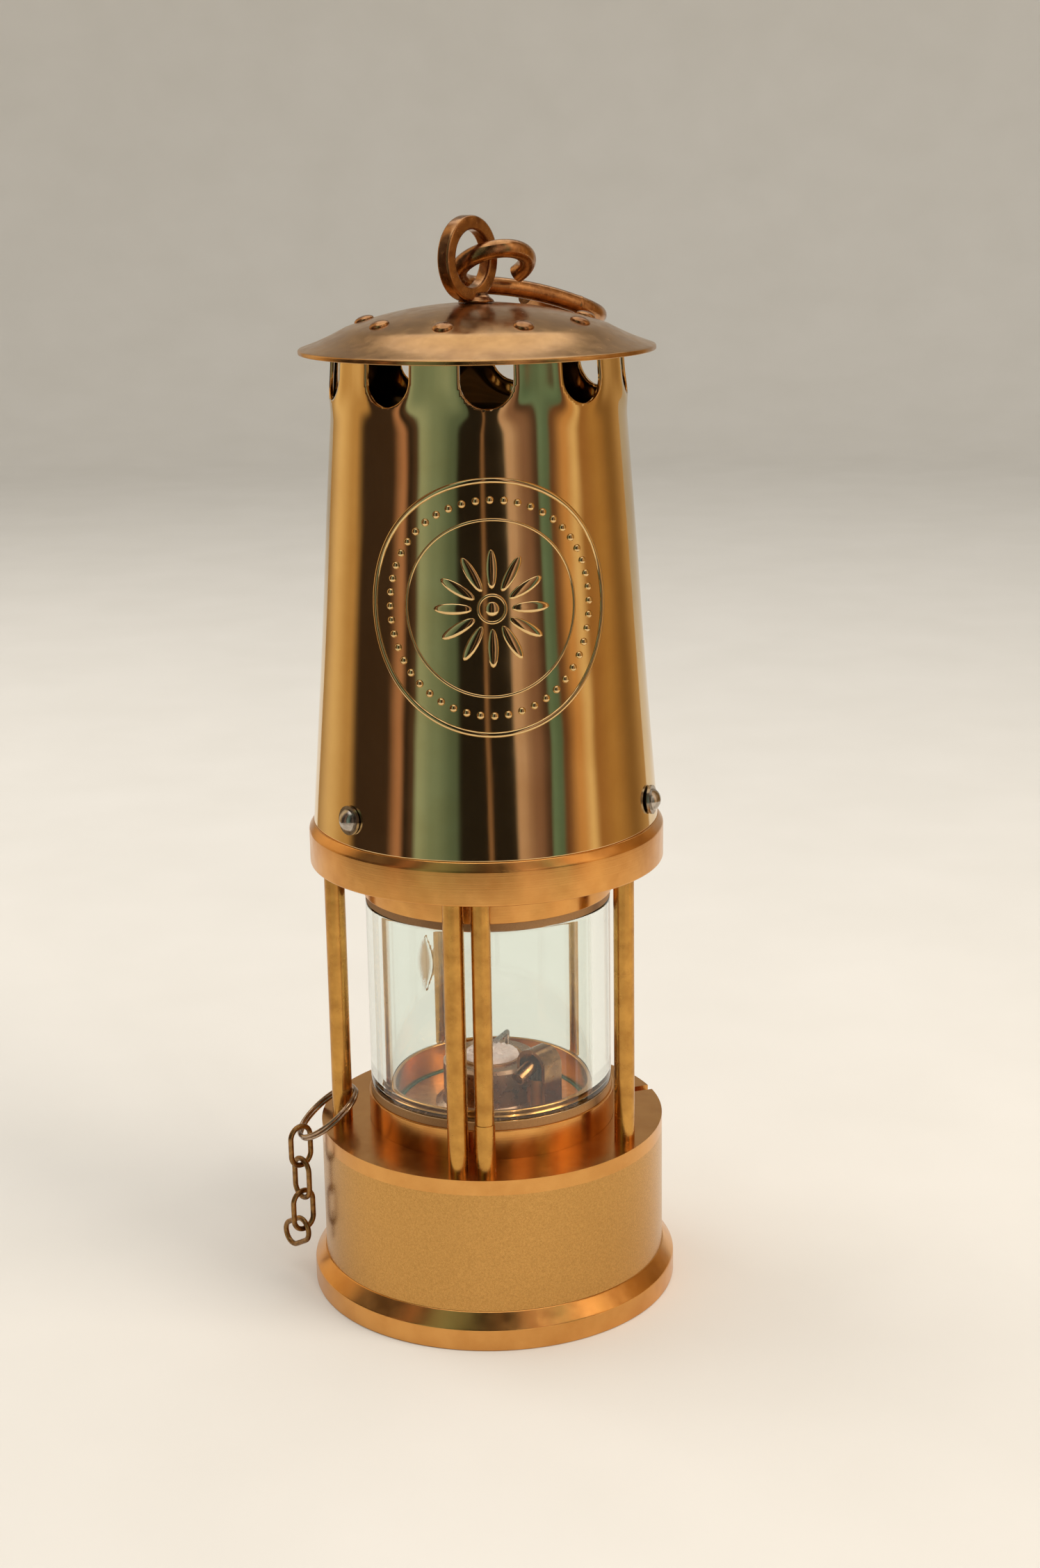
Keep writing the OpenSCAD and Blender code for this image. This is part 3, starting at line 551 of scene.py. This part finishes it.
# %% Bonnet ring, seat and gallery
ring_r = high("bonnet_ring").x
ring_low = low("bonnet_ring").z
spigot_top = high("bonnet_ring").z
RING_BAND = 8.7
RING_CHAMFER = 2.0
RING_BORE = 27
shelf = ring_low + RING_BAND + RING_CHAMFER
bonnet_foot = high("bonnet_shell").x
sheet = 0.9
ring = spin_outline([
    (RING_BORE, ring_low), (ring_r, ring_low), (ring_r, ring_low + RING_BAND),
    (bonnet_foot + 0.2, shelf), (bonnet_foot - sheet - 0.1, shelf),
    (bonnet_foot - sheet - 0.98, spigot_top), (bonnet_foot - sheet - 3.9, spigot_top),
    (bonnet_foot - sheet - 3.9, shelf - 2), (RING_BORE, shelf - 2),
], bevel=0.35)
finish_mesh("turned_bonnet_ring", ring, "turned_brass", "frame", ["bonnet_ring"])

seat_r = high("glass_seat").x
seat = spin_outline([
    (24.5, low("glass_seat").z), (seat_r, low("glass_seat").z),
    (seat_r, high("glass_seat").z), (24.5, high("glass_seat").z),
], bevel=0.25)
finish_mesh("turned_glass_seat", seat, "turned_brass", "frame", ["glass_seat"])

collar_low, collar_top = low("gallery_collar").z, high("gallery_collar").z
collar_lip = collar_top - 3.7
spigot_out = 26.2
bore = 25.1
ledge = 22.1
ledge_top = high("pillar_plate").z + 2
gallery = spin_outline([
    (ledge, collar_low), (seat_r, collar_low), (seat_r, collar_lip),
    (spigot_out, collar_lip), (spigot_out, collar_top), (bore, collar_top),
    (bore, ledge_top), (ledge, ledge_top),
], bevel=0.3)
finish_mesh("turned_gallery", gallery, "turned_brass", "vessel", ["gallery_collar"])

# %% [markdown]
# ### The bonnet
#
# The bonnet is rolled sheet, with nine vents punched under the lid. The punch drew the
# metal round each vent a little outwards, which shows as a soft bulge with its own
# reflections. The wall starts as one column of edges that is spun round. The faces
# inside each vent are deleted, the edge that is left is moved onto the vent's outline,
# the metal round it is swelled, and the sheet gets its thickness last. Rolled sheet is
# never quite even either, so a slow wave goes through it.

# %% Bonnet wall with its vents
bonnet_low = low("bonnet_shell").z
lid_r = high("lid").x
lid_low = low("lid").z
VENTS = 9
VENT_W = 12.5
VENT_H = 14.3
WALL_H = 120
TOP_R = 34.7
LID_T = 1.0
LID_RISE = 10.4
TAB_R = 22.9
MEDAL_Z = bonnet_low + 60
MEDAL_R = 29.6
dome_r = (lid_r**2 + LID_RISE**2) / (2 * LID_RISE)
wall_top = bonnet_low + WALL_H
dome_z = wall_top - math.sqrt((dome_r - LID_T) ** 2 - TOP_R**2)
crown_z = dome_z + dome_r
vent_z = wall_top - VENT_H
taper = (bonnet_foot - TOP_R) / WALL_H


def wall_r(z):
    """The bonnet's outer radius at a height."""
    return bonnet_foot - taper * (z - bonnet_low)


def vent_gap(across, z):
    """How far a point on the wall is outside the nearest vent's outline."""
    centre = vent_z + VENT_W / 2
    if z < centre:
        return math.hypot(across, z - centre) - VENT_W / 2
    return abs(across) - VENT_W / 2


def vent_across(x, y, r):
    """The distance round the wall from the middle of the nearest vent."""
    pitch = math.tau / VENTS
    turn = math.atan2(x, -y)
    turn -= pitch * round(turn / pitch)
    return r * math.sin(turn)


heights = [bonnet_low, bonnet_low + 0.3] + [bonnet_low + i * 4 for i in range(1, 25)]
fine_from = bonnet_low + 100
heights += [fine_from + i * 0.5 for i in range(40)] + [wall_top]
profile = [(wall_r(z), z) for z in heights]
under = dome_r - LID_T - 0.05
tab_steps = 12
for i in range(1, tab_steps + 1):
    r = TOP_R + (TAB_R - TOP_R) * i / tab_steps
    profile.append((r, dome_z + math.sqrt(under**2 - r**2)))
bm = bmesh.new()
column = [bm.verts.new((r, 0, z)) for r, z in profile]
edges = [bm.edges.new(pair) for pair in zip(column, column[1:])]
bmesh.ops.rotate(bm, verts=bm.verts, matrix=Matrix.Rotation(math.radians(0.5), 3, "Z"))
bmesh.ops.spin(
    bm, geom=column + edges, axis=(0, 0, 1), cent=(0, 0, 0), angle=math.tau,
    steps=432, use_merge=True, use_duplicate=False,
)
bmesh.ops.recalc_face_normals(bm, faces=bm.faces)
holes = []
for face in bm.faces:
    middle = face.calc_center_median()
    r = math.hypot(middle.x, middle.y)
    gap = vent_gap(vent_across(middle.x, middle.y, r), middle.z)
    if middle.z > vent_z and gap < 0:
        holes.append(face)
bmesh.ops.delete(bm, geom=holes, context="FACES")
for vert in bm.verts:
    r = math.hypot(vert.co.x, vert.co.y)
    across = vent_across(vert.co.x, vert.co.y, r)
    gap = vent_gap(across, vert.co.z)
    if vert.is_boundary and abs(gap) < 0.6 and vert.co.z > vent_z - 1:
        centre = vent_z + VENT_W / 2
        sign = 1 if across > 0 else -1
        if vert.co.z < centre:
            away = Vector((across, vert.co.z - centre)).normalized() * VENT_W / 2
            across, vert.co.z = away.x, centre + away.y
        else:
            across = sign * VENT_W / 2
        pitch = math.tau / VENTS
        turn = math.atan2(vert.co.x, -vert.co.y)
        turn = pitch * round(turn / pitch) + math.asin(across / r)
        vert.co.x, vert.co.y = r * math.sin(turn), -r * math.cos(turn)
ROLLED_WAVE = 0.3
BULGE = 0.55
BULGE_REACH = 3.2
for vert in bm.verts:
    r = math.hypot(vert.co.x, vert.co.y)
    if vert.co.z > wall_top + 0.01:
        continue
    gap = max(0, vent_gap(vent_across(vert.co.x, vert.co.y, r), vert.co.z))
    settle = min(1, (wall_top - vert.co.z) / 3)
    swell = BULGE * math.exp(-((gap / BULGE_REACH) ** 2)) * settle
    turn = math.atan2(vert.co.x, -vert.co.y)
    from_medal = math.hypot(r * turn, vert.co.z - MEDAL_Z)
    calm = min(1, max(0, (from_medal - MEDAL_R - 1) / 8))
    spot = Vector((vert.co.x * 0.045, vert.co.y * 0.045, vert.co.z * 0.02))
    swell += ROLLED_WAVE * noise.noise(spot) * settle * calm
    vert.co += Vector((vert.co.x, vert.co.y, 0)).normalized() * swell
bonnet = finish_mesh("bonnet_wall", bm, "buffed_sheet_brass", "frame",
                     ["bonnet_shell"], weighted=False)
thick = bonnet.modifiers.new("sheet thickness", "SOLIDIFY")
thick.thickness = sheet * MM
thick.offset = -1

# %% [markdown]
# ### The medallion
#
# A raised medallion is struck into the front of the bonnet. Here it is bare of words:
# a raised rim, a ring of beads, an inner rim and a plain rosette. Each part is made
# flat, and one function then rolls it round the wall.

# %% Roll flat work round the bonnet


def roll_on(bm):
    """Takes flat work (x across, y up, z out) and wraps it round the front wall."""
    for vert in bm.verts:
        z = MEDAL_Z + vert.co.y
        r = wall_r(z)
        turn = vert.co.x / r
        out = r + vert.co.z
        vert.co = Vector((out * math.sin(turn), -out * math.cos(turn), z))


def bead_ring(bm, radius, count, size):
    """A circle of half-sunk beads."""
    for i in range(count):
        made = bmesh.ops.create_uvsphere(bm, u_segments=12, v_segments=8, radius=size)
        turn = math.tau * i / count
        bmesh.ops.scale(bm, vec=(1, 1, 0.8), verts=made["verts"])
        bmesh.ops.translate(
            bm, verts=made["verts"],
            vec=(radius * math.cos(turn), radius * math.sin(turn), 0),
        )


def half_round_ring(bm, radius, width, rise):
    """A ring of half-round section that lies flat."""
    arc = [math.pi * i / 8 for i in range(9)]
    ring = [bm.verts.new((radius + width / 2 * math.cos(a), 0, rise * math.sin(a)))
            for a in arc]
    ring += [bm.verts.new((radius - width / 2, 0, -0.3)),
             bm.verts.new((radius + width / 2, 0, -0.3))]
    edges = [bm.edges.new(pair) for pair in zip(ring, ring[1:] + ring[:1])]
    bmesh.ops.spin(
        bm, geom=ring + edges, axis=(0, 0, 1), cent=(0, 0, 0), angle=math.tau,
        steps=144, use_merge=True, use_duplicate=False,
    )


medal = bmesh.new()
half_round_ring(medal, MEDAL_R, 1.3, 0.5)
half_round_ring(medal, 20.6, 0.7, 0.3)
bead_ring(medal, 25.1, 48, 0.95)
PETALS = 12
for i in range(PETALS):
    made = bmesh.ops.create_uvsphere(medal, u_segments=16, v_segments=10, radius=1)
    bmesh.ops.scale(medal, vec=(4.6, 1.35, 0.45), verts=made["verts"])
    bmesh.ops.translate(medal, verts=made["verts"], vec=(9.2, 0, 0))
    bmesh.ops.rotate(
        medal, verts=made["verts"],
        matrix=Matrix.Rotation(math.tau * i / PETALS, 3, "Z"),
    )
half_round_ring(medal, 3.2, 0.8, 0.4)
boss = bmesh.ops.create_uvsphere(medal, u_segments=24, v_segments=12, radius=1.7)
bmesh.ops.scale(medal, vec=(1, 1, 0.35), verts=boss["verts"])
bmesh.ops.recalc_face_normals(medal, faces=medal.faces)
roll_on(medal)
finish_mesh("struck_medallion", medal, "buffed_sheet_brass", "frame", ["crest_ring"],
            weighted=False)

# %% [markdown]
# ### The lid and its rivets
#
# The lid is spun sheet: a shallow dome that flattens out towards a thin rounded edge.
# Nine copper rivets hold it to the bonnet's tabs.

# %% Lid
LID_STEPS = 36
FLARE_FROM = 32
FLARE = 0.55


def dome_height(r, ball_r):
    """The height of the lid's outer or inner face, which flares near the edge."""
    run = max(0, r - FLARE_FROM) / (lid_r - FLARE_FROM)
    return dome_z + math.sqrt(ball_r**2 - r**2) - FLARE * math.sin(math.pi * run)


hole = 2.6
lid_out = [(hole + (lid_r - hole) * i / LID_STEPS) for i in range(LID_STEPS + 1)]
outline = [(r, dome_height(r, dome_r)) for r in lid_out]
outline += [(r, dome_height(r, dome_r - LID_T)) for r in reversed(lid_out)]
lid = spin_outline(outline, bevel=0.3, sharp=40)
finish_mesh("spun_lid", lid, "spun_lid_brass", "frame", ["lid"])

# %% Rivets
RIVET_R = 27.4
RIVET_D = 5.0
RIVET_H = 1.1
rivets = bmesh.new()
lean = math.asin(RIVET_R / dome_r)
for i in range(VENTS):
    made = bmesh.ops.create_uvsphere(rivets, u_segments=32, v_segments=16, radius=1)
    bmesh.ops.scale(rivets, vec=(RIVET_D / 2, RIVET_D / 2, RIVET_H), verts=made["verts"])
    move = (
        Matrix.Translation((0, 0, dome_z))
        @ Matrix.Rotation((i + 0.5) * math.tau / VENTS, 4, "Z")
        @ Matrix.Rotation(lean, 4, "X")
        @ Matrix.Translation((0, 0, dome_r))
    )
    bmesh.ops.transform(rivets, matrix=move, verts=made["verts"])
finish_mesh("copper_rivets", rivets, "bent_bronze", "frame", ["lid_rivets"],
            weighted=False)

# %% [markdown]
# ### The eye
#
# The eye is bent from square bar, with its corners worn round. Its shank spreads into a
# flared foot just over the crown, and goes on through the lid.

# %% Eye
EYE_R = 8.4
EYE_BAR = 3.4
EYE_TURN = 50
EYE_OFF = 3
eye_z = high("suspension_eye").z - EYE_R - EYE_BAR / 2
half = EYE_BAR / 2
eye = spin_outline([
    (EYE_R - half, -half), (EYE_R + half, -half), (EYE_R + half, half),
    (EYE_R - half, half),
], steps=96, bevel=0.6, sharp=40)
stand = (
    Matrix.Rotation(math.radians(EYE_TURN), 4, "Z")
    @ Matrix.Translation((-EYE_OFF, 0, eye_z))
    @ Matrix.Rotation(math.radians(90), 4, "X")
)
bmesh.ops.transform(eye, matrix=stand, verts=eye.verts)
shank_low = low("suspension_eye").z
shank_top = eye_z - EYE_R
foot = crown_z + 0.1
line = [eye.verts.new((r, 0, z)) for r, z in [
    (0, shank_low), (2.5, shank_low), (2.5, foot), (4.4, foot), (4.1, foot + 0.5),
    (3.3, foot + 1.1), (2.7, foot + 2.2), (2.4, shank_top), (0, shank_top),
]]
edges = [eye.edges.new(pair) for pair in zip(line, line[1:])]
shank = bmesh.ops.spin(
    eye, geom=line + edges, axis=(0, 0, 1), cent=(0, 0, 0), angle=math.tau,
    steps=48, use_merge=True, use_duplicate=False,
)
bmesh.ops.remove_doubles(eye, verts=eye.verts, dist=0.001)
bmesh.ops.recalc_face_normals(eye, faces=eye.faces)
finish_mesh("bar_eye", eye, "bent_bronze", "eye", ["suspension_eye"])

# %% [markdown]
# ### The wick
#
# The round braided wick stands just over its tube, and its burnt and frayed end is the
# only soft thing in sight. The end is a disc that is cut fine and roughened.

# %% Frayed wick
WICK_R = 7.4
wick_low, wick_top = low("wick").z, high("wick").z
random.seed(4)
wick = bmesh.new()
rise = [(WICK_R, wick_low), (WICK_R, wick_top - 1.6), (WICK_R - 0.4, wick_top - 0.9),
        (WICK_R - 1.6, wick_top - 0.6)]
steps = 14
rise += [((WICK_R - 1.6) * (1 - i / steps), wick_top - 0.6) for i in range(1, steps)]
line = [wick.verts.new((r, 0, z)) for r, z in rise]
edges = [wick.edges.new(pair) for pair in zip(line, line[1:])]
bmesh.ops.spin(
    wick, geom=line + edges, axis=(0, 0, 1), cent=(0, 0, 0), angle=math.tau,
    steps=96, use_merge=True, use_duplicate=False,
)
bmesh.ops.holes_fill(wick, edges=[e for e in wick.edges if e.is_boundary], sides=0)
bmesh.ops.recalc_face_normals(wick, faces=wick.faces)
for vert in wick.verts:
    if vert.co.z > wick_top - 1.5:
        tuft = noise.noise(vert.co * 1.4) * 0.5 + noise.noise(vert.co * 3.1) * 0.3
        vert.co.z += max(-0.6, min(0.55, tuft))
finish_mesh("frayed_wick", wick, "wick_cotton", "vessel", ["wick"],
            weighted=False)

# %% [markdown]
# ## Floor and backdrop
#
# The lamp stands on a pale floor that sweeps up all round it, like a wide bowl, so that
# no line crosses the picture from any side. One profile is spun about the axis.

# %% Floor
BOWL_FLAT = 1700
BOWL_CURVE = 600
BOWL_TOP = 2400
bowl = bmesh.new()
path = [(BOWL_FLAT * i / 8, 0) for i in range(9)]
path += [(BOWL_FLAT + BOWL_CURVE * math.sin(a), BOWL_CURVE - BOWL_CURVE * math.cos(a))
         for a in [math.pi / 2 * i / 24 for i in range(1, 25)]]
path.append((BOWL_FLAT + BOWL_CURVE, BOWL_TOP))
profile = [bowl.verts.new((r, 0, z)) for r, z in path]
profile_edges = [bowl.edges.new(pair) for pair in zip(profile, profile[1:])]
bmesh.ops.spin(
    bowl, geom=profile + profile_edges, axis=(0, 0, 1), cent=(0, 0, 0),
    angle=math.tau, steps=96, use_merge=True, use_duplicate=False,
)
bmesh.ops.remove_doubles(bowl, verts=bowl.verts, dist=0.001)
bmesh.ops.recalc_face_normals(bowl, faces=bowl.faces)
bmesh.ops.scale(bowl, vec=(MM, MM, MM), verts=bowl.verts)
for face in bowl.faces:
    face.smooth = True
floor_mesh = bpy.data.meshes.new("floor")
bowl.to_mesh(floor_mesh)
bowl.free()
floor = bpy.data.objects.new("floor", floor_mesh)
bpy.context.scene.collection.objects.link(floor)
made, tree, shader = new_material("pale_floor_paint")
coord = add_node(tree, "TexCoord").outputs["Object"]
grain = add_node(tree, "TexNoise", {"Vector": coord, "Scale": per_metre(60)})
mixed = add_node(
    tree,
    "MixRGB",
    {"Fac": grain.outputs[0], "Color1": colour("#DEDBD5"), "Color2": colour("#D6D3CC")},
)
tree.links.new(mixed.outputs[0], shader.inputs["Base Color"])
shader.inputs["Roughness"].default_value = 0.9
floor_mesh.materials.append(made)

# %% [markdown]
# ## Light
#
# Polished metal shows the room more than its own colour. A large soft light on each
# side and one overhead give long vertical streaks, and the dim room between them keeps
# the metal dark enough to read as metal.

# %% Soft lights
def soft_light(name, turn, away, height, size, power, warmth="#FFFFFF"):
    """An area light that faces the middle of the lamp."""
    data = bpy.data.lights.new(name, "AREA")
    data.shape = "RECTANGLE"
    data.size, data.size_y = size[0] * MM, size[1] * MM
    data.energy = power
    data.color = colour(warmth)[:3]
    light = bpy.data.objects.new(name, data)
    a = math.radians(turn)
    spot = Vector((away * math.sin(a), -away * math.cos(a), height)) * MM
    aim = Vector((0, 0, 130)) * MM - spot
    light.matrix_world = Matrix.Translation(spot) @ aim.to_track_quat(
        "-Z", "Y").to_matrix().to_4x4()
    light.visible_camera = False
    bpy.context.scene.collection.objects.link(light)


soft_light("key", 58, 1050, 740, (700, 900), 11, "#FFF3E4")
soft_light("fill", -118, 1050, 700, (1000, 900), 6, "#FFF8F0")
soft_light("front_strip", 19, 1100, 420, (50, 900), 1.6, "#FFF4E8")
soft_light("overhead", 180, 100, 1500, (2400, 2400), 20, "#FFFFFF")

# %% [markdown]
# ### Cards for the polished brass to mirror
#
# A photographer stands cards round a mirror-like piece, so that its wall shows
# stripes and its shape reads. Here one bent card stands on the camera's side. Only
# reflections see it: it neither casts a shadow nor shows itself.

# %% Bent card
CARD_R = 450
CARD_FROM, CARD_TO = -150, 130
CARD_TOP = 950
card = bmesh.new()
turns = [CARD_FROM + (CARD_TO - CARD_FROM) * i / 80 for i in range(81)]
foot_line = [card.verts.new((CARD_R * math.sin(math.radians(a)),
                             -CARD_R * math.cos(math.radians(a)), 2)) for a in turns]
foot_edges = [card.edges.new(pair) for pair in zip(foot_line, foot_line[1:])]
risen = bmesh.ops.extrude_edge_only(card, edges=foot_edges)
moved = [v for v in risen["geom"] if isinstance(v, bmesh.types.BMVert)]
bmesh.ops.translate(card, verts=moved, vec=(0, 0, CARD_TOP))
bmesh.ops.scale(card, vec=(MM, MM, MM), verts=card.verts)
card_mesh = bpy.data.meshes.new("bent_card")
card.to_mesh(card_mesh)
card.free()
bent_card = bpy.data.objects.new("bent_card", card_mesh)
bpy.context.scene.collection.objects.link(bent_card)
bent_card.visible_camera = False
bent_card.visible_diffuse = False
bent_card.visible_shadow = False
bent_card.visible_transmission = False
made, tree, shader = new_material("striped_card")
coord = add_node(tree, "TexCoord").outputs["Object"]
apart = add_node(tree, "SeparateXYZ", {"Vector": coord})
front = add_node(tree, "Math", {0: apart.outputs["Y"], 1: -1.0}, operation="MULTIPLY")
turn = add_node(
    tree, "Math", {0: apart.outputs["X"], 1: front.outputs[0]}, operation="ARCTAN2"
)
placed = add_node(
    tree,
    "MapRange",
    {"Value": turn.outputs[0], "From Min": math.radians(CARD_FROM),
     "From Max": math.radians(CARD_TO)},
)
stripes = add_node(tree, "ValToRGB", {"Fac": placed.outputs[0]})
CARD_STRIPES = [
    (-150, "#A58A5C"), (-128, "#E0CCA0"), (-108, "#BCA070"), (-96, "#2E2018"),
    (-70, "#33251D"), (-60, "#B08A78"), (-55, "#20160F"), (-50, "#4A3830"),
    (-46, "#9AB8B4"), (-36, "#7C9C98"), (-22, "#567470"), (-18, "#0C0907"),
    (-3, "#0C0907"), (-2, "#A08068"), (1, "#120D0A"), (14, "#120D0A"),
    (17, "#C4ACA4"), (30, "#8C7068"), (38, "#4E3A34"), (40, "#6A9490"),
    (46, "#5A807C"), (49, "#6E4E3A"), (60, "#D8AC78"), (68, "#F0DCB4"),
    (76, "#A88050"), (92, "#B8945C"), (110, "#8E7044"), (130, "#BCA070"),
]
ramp = stripes.color_ramp
ramp.interpolation = "EASE"
while len(ramp.elements) < len(CARD_STRIPES):
    ramp.elements.new(0.5)
for element, (place, code) in zip(ramp.elements, CARD_STRIPES):
    element.position = (place - CARD_FROM) / (CARD_TO - CARD_FROM)
    element.color = colour(code)
tree.links.new(stripes.outputs[0], shader.inputs["Base Color"])
shader.inputs["Roughness"].default_value = 0.9
card_mesh.materials.append(made)

# %% The dim room
world = bpy.data.worlds.new("room")
bpy.context.scene.world = world
world.use_nodes = True
tree = world.node_tree
tree.nodes.clear()
back = add_node(tree, "Background", {"Color": colour("#A8A49C"), "Strength": 0.7})
add_node(tree, "OutputWorld", {"Surface": back.outputs[0]})

# %% View settings
bpy.context.scene.view_settings.view_transform = "Standard"

# %% [markdown]
# ## The end
#
# The view layer is brought up to date.

# %% The end
bpy.context.view_layer.update()
